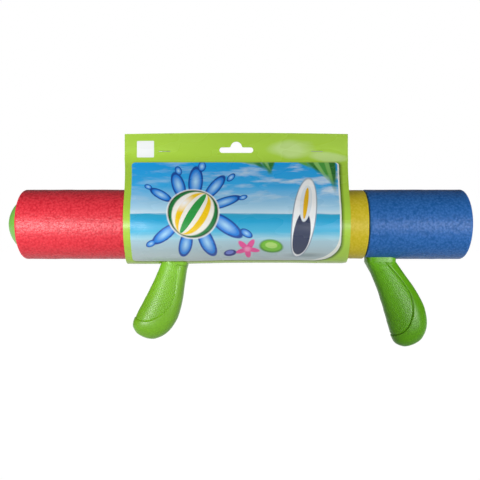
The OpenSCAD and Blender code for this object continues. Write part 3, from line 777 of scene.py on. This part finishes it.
class SQUIRTER_OT_grips(bpy.types.Operator):
    """Model the four grip shells, with their stepped finger panels, screw wells and pips"""
    bl_idname = "squirter.grips"
    bl_label = "Grips"

    def execute(self, context):
        look = context.scene.squirter_grips
        for end, grip in GRIPS.items():
            # Both grips are one plastic; the rear grip's darker colour is painted shade
            colour = tuple(look.front_colour if end == "front" else look.rear_colour)
            plastic = moulded_plastic(f"Moulded ABS, {end} grip green", colour, grip["gloss"], STEP_SHADE)
            pips = self.pip_tree(plastic)
            for side, word in ((-1, "left"), (1, "right")):
                node = f"{end}_grip_{word}_shell"
                piece = self.shell(node.replace("_shell", ""), end, side, look.recess / MM)
                if side > 0:
                    self.wells(piece, end)
                middle = grip_point(end, 0, PIP_FIELD_DOWN, 0)
                middle.y = side * PIP_FIELD_OUT * MM
                run_tree(piece, pips, {
                    "Pitch": look.pip_pitch, "Width": look.pip_width, "Height": look.pip_height,
                    "Side": float(-side), "Rake": grip["rake"], "Middle": middle})
                settle(piece, [node], sharp=32.0)
        return {"FINISHED"}

    def shell(self, name, end, side, recess):
        """Half of a grip: upright neck, raked body, and a panel let into it behind a sharp step."""
        grip, pivot = GRIPS[end], grip_pivot(end)
        size, full, ledge = grip["size"], grip["depth"] / grip["size"], grip["ledge"]
        cos, sin = math.cos(grip["rake"]), math.sin(grip["rake"])
        # Points round the half, rows on the neck and on its root, and rows between those of the table
        count, neck_rows, root_rows, steps = 118, 20, 16, 20
        rows = smooth_rows(GRIP_ROWS, steps) * [1, full, full, 1]
        rise = -pivot.z / MM - FOAM_BORE - 0.5
        neck_x, neck_y = half_outline(NECK_LENGTH / 2, NECK_WIDTH / 2, NECK_ROUNDNESS, count)
        first = rows[0]
        levels = [("neck", -h) for h in np.linspace(rise / size, 0, neck_rows)]
        levels += [("root", first[0] * k) for k in np.linspace(0, 1, root_rows)[1:-1]]
        levels += [("body", row) for row in rows]
        points, depths = [], []
        for kind, level in levels:
            row = level if kind == "body" else first
            half_l, middle, half_t = (row[1] + row[2]) / 2, (row[2] - row[1]) / 2, row[3]
            x, y = half_outline(half_l, half_t, GRIP_ROUNDNESS, count)
            down = row[0] if kind == "body" else level
            blend = {"neck": 0.0, "root": down / first[0], "body": 1.0}[kind]
            offset = (1 - blend) * neck_x + blend * (x + middle)
            inside = panel_depth(offset / full, np.full(count, down))
            # The surface sinks into the panel, into a groove at the foot of its step, round its shoulder,
            # under the ledge of the neck and at the parting line
            below = ease(ledge, ledge + 0.5, down)
            groove = 0.3 * np.exp(-((inside - 0.5) / 0.35) ** 2)
            shoulder = 0.2 * np.exp(-np.maximum(-inside, 0) / 2.5)
            under = 0.5 * math.exp(-max(down - ledge, 0.0) / 1.8) * ease(0.2, 0.8, y / half_t)
            inset = recess * ease(ledge, ledge + 7, down) * ease(-0.4, 0.4, inside)
            inset = inset + below * (groove + (shoulder + under) * (inside < 0))
            inset = inset + 0.16 * np.exp(-(y / 0.4) ** 2)
            upright = [neck_x * (1 - inset / (NECK_LENGTH / 2)), neck_y * (1 - inset / (NECK_WIDTH / 2)),
                       np.full(count, -min(down, 0.0))]
            along = x * (1 - inset / half_l) + middle
            raked = [along * cos + row[0] * sin, y * (1 - inset / half_t), along * sin - row[0] * cos]
            ring = [(1 - blend) * u + blend * r for u, r in zip(upright, raked)]
            ring[1] = side * np.maximum(ring[1] * size, PARTING)
            points += [(pivot.x + a * size * MM, b * MM, pivot.z + c * size * MM) for a, b, c in zip(*ring)]
            # The attribute is the depth in the panel; it places the painted shade line along the step and
            # under the neck's ledge, and is shifted to leave the painted shade out where the step is lit
            pale = 3 - 3 * ease(grip["line"], grip["line"] + 6, down)
            near = np.minimum(STEP_SHADE_LINE - inside + pale, abs(down - ledge - 0.4))
            line = np.where(inside < STEP_SHADE_LINE, STEP_SHADE_LINE - near, inside + pale)
            depths += list(line if down > ledge - 0.5 else np.full(count, OFF_PANEL))
        faces = [list(range(count))]
        for i in range(len(levels) - 1):
            a, b = i * count, (i + 1) * count
            faces += [(a + k, a + k + 1, b + k + 1, b + k) for k in range(count - 1)]
            faces.append((a, b, b + count - 1, a + count - 1))
        last = (len(levels) - 1) * count
        tip = grip_point(end, (rows[-1][2] - rows[-1][1]) / 2, rows[-1][0] + 0.3, 0)
        points.append((tip.x, side * PARTING * MM, tip.z))
        depths.append(OFF_PANEL)
        faces += [(last + k, last + k + 1, len(points) - 1) for k in range(count - 1)]
        faces.append((last, len(points) - 1, last + count - 1))
        piece = new_object(name, points, faces)
        panel = piece.data.attributes.new("panel", "FLOAT", "POINT")
        panel.data.foreach_set("value", depths)
        return piece

    def wells(self, piece, end):
        """Round wells for the heads of the grip screws."""
        seat = (NECK_WIDTH * GRIPS[end]["size"] / 2 - SCREW_SEAT) * MM
        radius, around = WELL_RADIUS * MM, 40
        turns = [math.tau * i / around for i in range(around)]
        cutters = []
        for offset, down in SCREW_PLACES:
            spot = grip_point(end, offset, down, 0)
            ring = [(spot.x + radius * math.cos(t), spot.z + radius * math.sin(t)) for t in turns]
            cutters.append(prism(ring, seat, seat + 30 * MM, "Y"))
        cut_away(piece, cutters)

    def pip_tree(self, plastic):
        """Geometry Nodes: a square grid of pips dropped on the finger panel across the grip."""
        tree, given = new_group("Grip pips", ("Pitch", "Width", "Height", "Side", "Rake"), ("Middle",))
        shell = given["Geometry"]
        count = calc(tree, "DIVIDE", PIP_FIELD * MM, given["Pitch"])
        span = calc(tree, "MULTIPLY", count, given["Pitch"])
        dots = calc(tree, "ADD", count, 1.0)
        grid = add(tree, "GeometryNodeMeshGrid", {
            "Size X": span, "Size Y": span, "Vertices X": dots, "Vertices Y": dots})
        stand = xyz(tree, math.pi / 2, calc(tree, "MULTIPLY", given["Rake"], -1.0))
        turn = add(tree, "FunctionNodeEulerToRotation", {0: stand})
        grid = move(tree, grid, given["Middle"], Rotation=turn)
        panel = add(tree, "GeometryNodeInputNamedAttribute", {"Name": "panel"}, data_type="FLOAT")
        ray = add(tree, "GeometryNodeRaycast", {
            "Target Geometry": shell, "Attribute": panel, "Ray Direction": xyz(tree, y=given["Side"]),
            "Ray Length": 0.2}, data_type="FLOAT").outputs
        miss = add(tree, "FunctionNodeBooleanMath", {0: ray["Is Hit"]}, operation="NOT")
        outer = add(tree, "FunctionNodeCompare", {0: ray["Attribute"], 1: PIP_MARGIN}, data_type="FLOAT",
                    operation="LESS_THAN")
        drop = add(tree, "FunctionNodeBooleanMath", {0: miss, 1: outer}, operation="OR")
        grid = add(tree, "GeometryNodeDeleteGeometry", {"Geometry": grid, "Selection": drop}, domain="POINT")
        grid = add(tree, "GeometryNodeSetPosition", {"Geometry": grid, "Position": ray["Hit Position"]})
        face_way = add(tree, "GeometryNodeSampleNearestSurface", {
            "Mesh": shell, "Value": add(tree, "GeometryNodeInputNormal")}, data_type="FLOAT_VECTOR")
        upright = add(tree, "FunctionNodeAlignRotationToVector", {"Vector": face_way}, axis="Z")
        half = calc(tree, "MULTIPLY", given["Width"], 0.5)
        bead = add(tree, "GeometryNodeMeshUVSphere", {"Segments": 8, "Rings": 5, "Radius": 1.0})
        pips = add(tree, "GeometryNodeInstanceOnPoints", {
            "Points": grid, "Instance": bead, "Rotation": upright,
            "Scale": xyz(tree, half, half, given["Height"])})
        pips = add(tree, "GeometryNodeRealizeInstances", {"Geometry": pips})
        # The pips are marked far from the step, so the painted shade line is not drawn on them
        pips = add(tree, "GeometryNodeStoreNamedAttribute", {
            "Geometry": pips, "Name": "panel", "Value": -OFF_PANEL}, data_type="FLOAT", domain="POINT")
        whole = add(tree, "GeometryNodeJoinGeometry", {0: [shell, pips]})
        return end_group(tree, whole, plastic)


class SQUIRTER_OT_screws(bpy.types.Operator):
    """Set the cross-head screws in the far sides of the grips"""
    bl_idname = "squirter.screws"
    bl_label = "Grip Screws"

    def execute(self, context):
        tree = self.screw_tree(plated_steel("Zinc plated steel, screws", linear("#b9bcc0")))
        for end, grip in GRIPS.items():
            node = f"{end}_grip_screws"
            seat = NECK_WIDTH / 2 - SCREW_SEAT / grip["size"]
            places = [grip_point(end, offset, down, seat) for offset, down in SCREW_PLACES]
            piece = new_object(node + "_set", places, [])
            run_tree(piece, tree, {**SCREW, "Length": (NECK_WIDTH - SCREW_SHORT) * grip["size"]})
            settle(piece, [node], sharp=30.0)
        return {"FINISHED"}

    def screw_tree(self, steel):
        """Geometry Nodes: a pan-head screw with a cross recess on every point, its head towards +Y."""
        tree, given = new_group("Grip screws", ("Head", "Height", "Shank", "Length", "Scale"))

        def part(name, share):
            return calc(tree, "MULTIPLY", given[name], share)
        head_r, rim, crown = part("Head", 0.5), part("Height", 0.45), part("Height", 0.55)
        plate = add(tree, "GeometryNodeMeshCylinder", {"Vertices": 32, "Radius": head_r, "Depth": rim})
        plate = move(tree, plate, xyz(tree, z=calc(tree, "MULTIPLY", rim, 0.5)))
        dome = add(tree, "GeometryNodeMeshUVSphere", {"Segments": 32, "Rings": 12, "Radius": 1.0})
        dome = move(tree, dome, xyz(tree, z=rim), Scale=xyz(tree, head_r, head_r, crown))
        head = add(tree, "GeometryNodeMeshBoolean", {"Mesh 2": [plate, dome]}, operation="UNION",
                   solver="EXACT")
        long, thin, bars = part("Head", 0.62), part("Head", 0.16), []
        for first, second in ((long, thin), (thin, long)):
            bar = add(tree, "GeometryNodeMeshCube", {"Size": xyz(tree, first, second, crown)})
            bars.append(move(tree, bar, xyz(tree, z=given["Height"])))
        head = add(tree, "GeometryNodeMeshBoolean", {"Mesh 1": head, "Mesh 2": bars}, operation="DIFFERENCE",
                   solver="EXACT")
        shank = add(tree, "GeometryNodeMeshCylinder", {
            "Vertices": 20, "Radius": part("Shank", 0.5), "Depth": given["Length"]})
        shank = move(tree, shank, xyz(tree, z=part("Length", -0.5)))
        screw = add(tree, "GeometryNodeJoinGeometry", {0: [head, shank]})
        lean = add(tree, "FunctionNodeEulerToRotation", {0: (-math.pi / 2, 0.4, 0.0)})
        screws = add(tree, "GeometryNodeInstanceOnPoints", {
            "Points": given["Geometry"], "Instance": screw, "Rotation": lean,
            "Scale": xyz(tree, *[given["Scale"]] * 3)})
        return end_group(tree, add(tree, "GeometryNodeRealizeInstances", {"Geometry": screws}), steel)


class SQUIRTER_OT_card(bpy.types.Operator):
    """Wrap the printed display card round the foam, with its slot and the opening for the front grip"""
    bl_idname = "squirter.card"
    bl_label = "Display Card"

    def execute(self, context):
        look = context.scene.squirter_card
        low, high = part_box("header_card")
        top, width = high.z / MM, (high.x - low.x) / MM
        front = self.section(top)
        path = np.vstack([front * [-1, 1], front[::-1][1:]])
        outer, inner, uvs = self.sheet(path, low.x / MM, width, top, look)
        columns, lines, n = look.columns, len(path), len(outer)
        # Faces and their materials: 0 print, 1 grey back, 2 cut edge
        faces, kinds = [], []
        for j in range(lines - 1):
            for i in range(columns - 1):
                a = j * columns + i
                faces += [(a, a + 1, a + columns + 1, a + columns),
                          (n + a, n + a + columns, n + a + columns + 1, n + a + 1)]
                kinds += [0, 1]
        for j in range(lines - 1):
            faces += [(a, a + columns, n + a + columns, n + a) for a in (j * columns, (j + 1) * columns - 1)]
        for i in range(columns - 1):
            faces += [(a, a + 1, n + a + 1, n + a) for a in (i, (lines - 1) * columns + i)]
        kinds += [2] * (len(faces) - len(kinds))
        piece = new_object("display_card", outer + inner, faces)
        piece.data.polygons.foreach_set("material_index", kinds)
        layer = piece.data.uv_layers.new(name="print")
        for loop in piece.data.loops:
            layer.data[loop.index].uv = uvs[loop.vertex_index % n]
        for material in (
                printed_card("Varnished boxboard, printed", tuple(look.green), width, run_along(path)[-1]),
                raw_card("Boxboard, grey back", linear("#d9d8d2")),
                raw_card("Boxboard, cut edge", linear("#ecece6"))):
            piece.data.materials.append(material)
        self.openings(piece, (low.x + high.x) / 2)
        settle(piece, ["header_card"])
        return {"FINISHED"}

    def sheet(self, path, start, width, top, look):
        """Points of the card's two faces with its bow, sag and waists, and their places on the print."""
        run, ahead = run_along(path), np.gradient(path, axis=0)
        normal = np.stack([ahead[:, 1], -ahead[:, 0]], axis=1) / np.hypot(ahead[:, 0], ahead[:, 1])[:, None]
        cuts = []
        for waist in CARD_WAISTS:
            waist_r = (WAIST_HALF ** 2 + waist ** 2) / (2 * waist)
            reach = np.maximum(waist_r ** 2 - (path[:, 1] - WAIST_HEIGHT) ** 2, 0)
            cuts.append(np.maximum(np.sqrt(reach) - (waist_r - waist), 0))
        # The header and its bend stay flat, the belly sags, the header's top edge is crowned
        slack = ease(38, 60, np.minimum(run, run[-1] - run))
        belly = ease(24, 34, -path[:, 1])
        header = np.clip((path[:, 1] - CARD_FOLD) / (top - CARD_FOLD), 0, 1)
        outer, inner, uvs = [], [], []
        for j in range(len(path)):
            for share in (i / (look.columns - 1) for i in range(look.columns)):
                x = start + cuts[0][j] + share * (width - cuts[0][j] - cuts[1][j])
                lift = 0.5 + 0.5 * noise.noise(Vector((x / CARD_WAVE[0], run[j] / CARD_WAVE[1], 3.0)))
                lift = slack[j] * lift * look.bow / MM + belly[j] * np.interp(x - start, *zip(*CARD_SAG))
                drop = CARD_CROWN * (2 * share - 1) ** 2 * header[j]
                for face, level in ((outer, lift), (inner, lift - CARD_SHEET)):
                    y, z = path[j] + normal[j] * level
                    face.append((x * MM, y * MM, (z - drop) * MM))
                uvs.append((share * width, run[j]))
        return outer, inner, uvs

    def section(self, top):
        """Outer line of half the folded card: flat header, bend, straight side, round foam, slack belly."""
        loop, belly = FOAM_RADIUS + 0.9, 26.7
        belly_z = belly - (FOAM_RADIUS + CARD_SLACK)
        half, fold, fillet = 0.575, CARD_FOLD + 0.5, 24.0
        high = math.atan2(half, fold) + math.acos(loop / math.hypot(half, fold))
        touch = np.array([loop * math.sin(high), loop * math.cos(high)])
        way = touch - [half, fold]
        bend = math.acos(-way[1] / np.linalg.norm(way))
        tangent = fillet * math.tan(bend / 2)
        low = math.acos((belly - loop) / -belly_z)
        line = [(half, z) for z in np.linspace(top, fold + tangent, 12)]
        line += [(half + fillet - fillet * math.cos(t), fold + tangent - fillet * math.sin(t))
                 for t in np.linspace(0, bend, 14)[1:]]
        line += [tuple(touch)]
        line += [(loop * math.sin(t), loop * math.cos(t)) for t in np.linspace(high, low, 40)[1:]]
        line += [(belly * math.sin(t), belly_z + belly * math.cos(t)) for t in np.linspace(low, math.pi, 30)]
        return even_steps(np.array(line), 84)

    def slot(self):
        """Hanging slot round its own middle: a bar with round ends and a crown joined to it by fillets."""
        def arc(x, z, radius, first, last, count):
            turns = np.linspace(first, last, count)
            return [(x + radius * math.cos(t), z + radius * math.sin(t)) for t in turns]
        end, half, crown, fillet, quarter = 13.2, SLOT_HALF, 5.3, 1.6, math.pi / 2
        lean = math.asin(fillet / (crown + fillet))
        right = arc(end, 0, half, -quarter, quarter, 16)
        right += arc((crown + fillet) * math.cos(lean), half + fillet, fillet, -quarter, lean - math.pi, 8)
        right += arc(0, half, crown, lean, quarter, 14)[1:]
        return right + [(-x, z) for x, z in right[-2::-1]]

    def openings(self, piece, middle):
        """Hanging slot through the header and the hole in the belly for the front grip."""
        slot = [(middle + x * MM, (SLOT_HEIGHT + z) * MM) for x, z in self.slot()]
        pivot, grip = grip_pivot("front"), GRIPS["front"]
        lean = math.tan(grip["rake"]) * (CARD_SLACK - grip["drop"]) * MM
        hole = soft_outline((NECK_LENGTH / 2 * grip["size"] + HOLE_GAP) * MM,
                            (NECK_WIDTH / 2 * grip["size"] + HOLE_GAP) * MM, NECK_ROUNDNESS, 48)
        cutters = [prism(slot, -20 * MM, 20 * MM, "Y"),
                   prism([(pivot.x + lean + x, y) for x, y in hole], -60 * MM, -20 * MM, "Z")]
        for cutter in cutters:
            cutter.data.polygons.foreach_set("material_index", [2] * len(cutter.data.polygons))
            for material in piece.data.materials:
                cutter.data.materials.append(material)
        cut_away(piece, cutters)


class SQUIRTER_OT_staples(bpy.types.Operator):
    """Bend the two wire staples through the header of the card"""
    bl_idname = "squirter.staples"
    bl_label = "Card Staples"

    def execute(self, context):
        low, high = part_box("card_staples")
        wire, length, clinch, bend = 0.6 * MM, 11 * MM, 3.1 * MM, 0.45 * MM
        out, half = high.y - wire / 2, (length - wire) / 2
        height = (low.z + high.z) / 2
        line = [(clinch - half, out), (-half, out), (-half, -out)]
        line += [(-x, y) for x, y in line[::-1]]
        points, edges = [], []
        for centre in (low.x + length / 2, high.x - length / 2):
            edges += [(len(points) + i, len(points) + i + 1) for i in range(len(line) - 1)]
            points += [(centre + x, y, height) for x, y in line]
        piece = new_object("staples", points, [], edges)
        tree = self.wire_tree(plated_steel("Zinc plated steel, staples", linear("#a9acaf")))
        run_tree(piece, tree, {"Wire": wire, "Bend": bend})
        settle(piece, ["card_staples"], sharp=60.0)
        return {"FINISHED"}

    def wire_tree(self, steel):
        """Geometry Nodes: round wire along the edges of the mesh, with rounded bends."""
        tree, given = new_group("Staple wire", ("Wire", "Bend"))
        line = add(tree, "GeometryNodeMeshToCurve", {"Mesh": given["Geometry"]})
        line = add(tree, "GeometryNodeFilletCurve", {
            "Curve": line, "Count": 5, "Radius": given["Bend"], "Limit Radius": True}, mode="POLY")
        half = calc(tree, "MULTIPLY", given["Wire"], 0.5)
        ring = add(tree, "GeometryNodeCurvePrimitiveCircle", {"Resolution": 12, "Radius": half})
        wire = add(tree, "GeometryNodeCurveToMesh", {"Curve": line, "Profile Curve": ring, "Fill Caps": True})
        return end_group(tree, add(tree, "GeometryNodeRealizeInstances", {"Geometry": wire}), steel)


class SQUIRTER_OT_pump(bpy.types.Operator):
    """Finish the end caps and the tubes, piston and seals of the pump"""
    bl_idname = "squirter.pump"
    bl_label = "Caps and Pump"

    def execute(self, context):
        caps = moulded_plastic("Moulded ABS, light green", linear("#74b83d"), 0.4)
        pipe = drawn_pipe("Extruded polypropylene, white", linear("#e4e6e2"))
        cast = moulded_plastic("Moulded polypropylene, white", linear("#dfe1dd"), 0.4)
        rubber = pressed_rubber("Nitrile rubber", linear("#2b2b2d"))
        finishes = {
            "nozzle_cap": caps, "rear_end_cap": caps, "barrel_tube": pipe, "plunger_tube": pipe,
            "carrier_tube": pipe, "barrel_gland": cast, "carrier_bush": cast, "piston_head": cast,
            "piston_seal": rubber, "nozzle_gasket": rubber,
        }
        for node, material in finishes.items():
            mesh = frame["nodes"][node].data
            mesh.materials.clear()
            mesh.materials.append(material)
        return {"FINISHED"}


class SQUIRTER_OT_stage(bpy.types.Operator):
    """Set up the pale floor, the room, three softboxes and the camera"""
    bl_idname = "squirter.stage"
    bl_label = "Stage"

    def execute(self, context):
        look, scene = context.scene.squirter_stage, context.scene
        self.floor(CAD_BOX[0][2] - FLOOR_DROP)
        self.room(scene, look.fill)
        for side, setup in SOFTBOXES.items():
            lamp = self.softbox(side + "_softbox", getattr(look, side + "_light"), *setup)
            if side == "far":
                lamp.visible_camera = lamp.visible_glossy = False
        lens = bpy.data.cameras.new("photo_camera")
        lens.sensor_width = 36
        lens.lens = look.lens
        lens.clip_start = 0.01
        camera = bpy.data.objects.new("photo_camera", lens)
        camera.location = CAMERA_PLACE
        camera.rotation_euler = (math.pi / 2, 0, 0)
        scene.collection.objects.link(camera)
        scene.camera = camera
        scene.view_settings.view_transform = "Standard"
        return {"FINISHED"}

    def floor(self, level):
        """Pale sweep that takes a faint shadow. Seen by the camera and in reflections, it glows to white."""
        corners = [(x * FLOOR_HALF, y * FLOOR_HALF, level) for x, y in ((-1, -1), (1, -1), (1, 1), (-1, 1))]
        piece = new_object("floor", corners, [(0, 1, 2, 3)])
        material, tree = new_material("White paper sweep")
        path = add(tree, "ShaderNodeLightPath").outputs
        seen = calc(tree, "MAXIMUM", path["Is Camera Ray"], path["Is Glossy Ray"])
        seen = calc(tree, "MAXIMUM", seen, path["Is Transmission Ray"])
        # Four fifths of the glow come to just under white, and the paper adds the rest
        part = calc(tree, "MULTIPLY", seen, 0.8)
        paper = add(tree, "ShaderNodeBsdfDiffuse", {"Color": linear("#c2c2c0")})
        glow = add(tree, "ShaderNodeEmission", {"Color": WHITE, "Strength": 1.24})
        both = add(tree, "ShaderNodeMixShader", {0: part, 1: paper, 2: glow})
        add(tree, "ShaderNodeOutputMaterial", {"Surface": both})
        piece.data.materials.append(material)

    def room(self, scene, fill):
        """Room with white paper behind the squirter, which gets dimmer behind the camera and overhead."""
        world = bpy.data.worlds.new("White room")
        scene.world = world
        world.use_nodes = True
        tree = world.node_tree
        tree.nodes.clear()
        around = add(tree, "ShaderNodeTexCoord").outputs["Generated"]
        way = add(tree, "ShaderNodeSeparateXYZ", {0: around}).outputs
        paper = remap(tree, way[1], 0.35, 0.9, 0.0, 0.4)
        high = remap(tree, way[2], 0.25, 0.8, 1.0, 0.8)
        level = calc(tree, "MULTIPLY", high, fill)
        path = add(tree, "ShaderNodeLightPath").outputs
        seen = calc(tree, "MAXIMUM", path["Is Glossy Ray"], path["Is Transmission Ray"])
        seen = calc(tree, "MULTIPLY", calc(tree, "MULTIPLY", seen, paper), high)
        seen = calc(tree, "MAXIMUM", seen, path["Is Camera Ray"])
        level = calc(tree, "MAXIMUM", level, seen)
        light = add(tree, "ShaderNodeBackground", {"Color": WHITE, "Strength": level})
        add(tree, "ShaderNodeOutputWorld", {"Surface": light})

    def softbox(self, name, power, place, aim, spread, wide):
        """Large rectangular area light with a grid, turned towards a place on the squirter."""
        lamp = bpy.data.lights.new(name, "AREA")
        lamp.shape = "RECTANGLE"
        lamp.size, lamp.size_y = wide, SOFTBOX_HEIGHT
        lamp.energy = power
        lamp.spread = math.radians(spread)
        holder = bpy.data.objects.new(name, lamp)
        holder.location = place
        holder.rotation_euler = (Vector(aim) - Vector(place)).to_track_quat("-Z", "Y").to_euler()
        bpy.context.scene.collection.objects.link(holder)
        return holder


class SQUIRTER_PT_parts(bpy.types.Panel):
    """Builders and settings of the water squirter"""
    bl_label = "Water Squirter"
    bl_idname = "SQUIRTER_PT_parts"
    bl_space_type = "VIEW_3D"
    bl_region_type = "UI"
    bl_category = "Squirter"

    def draw(self, context):
        for group in GROUPS:
            settings = getattr(context.scene, group)
            box = self.layout.box()
            for name in settings.__annotations__:
                box.prop(settings, name)
        for operator in OPERATORS:
            self.layout.operator(operator.bl_idname)


GROUPS = {
    "squirter_foam": SQUIRTER_PG_foam, "squirter_grips": SQUIRTER_PG_grips,
    "squirter_card": SQUIRTER_PG_card, "squirter_stage": SQUIRTER_PG_stage,
}
OPERATORS = (
    SQUIRTER_OT_stage, SQUIRTER_OT_foam, SQUIRTER_OT_grips, SQUIRTER_OT_screws, SQUIRTER_OT_card,
    SQUIRTER_OT_staples, SQUIRTER_OT_pump,
)
CLASSES = (*GROUPS.values(), *OPERATORS, SQUIRTER_PT_parts)


def register():
    for cls in CLASSES:
        bpy.utils.register_class(cls)
    for name, group in GROUPS.items():
        setattr(bpy.types.Scene, name, PointerProperty(type=group))


def unregister():
    for name in GROUPS:
        delattr(bpy.types.Scene, name)
    for cls in reversed(CLASSES):
        bpy.utils.unregister_class(cls)


def main():
    register()
    bpy.ops.squirter.stage()
    bpy.ops.squirter.foam()
    bpy.ops.squirter.grips()
    bpy.ops.squirter.screws()
    bpy.ops.squirter.card()
    bpy.ops.squirter.staples()
    bpy.ops.squirter.pump()


if __name__ == "__main__":
    main()
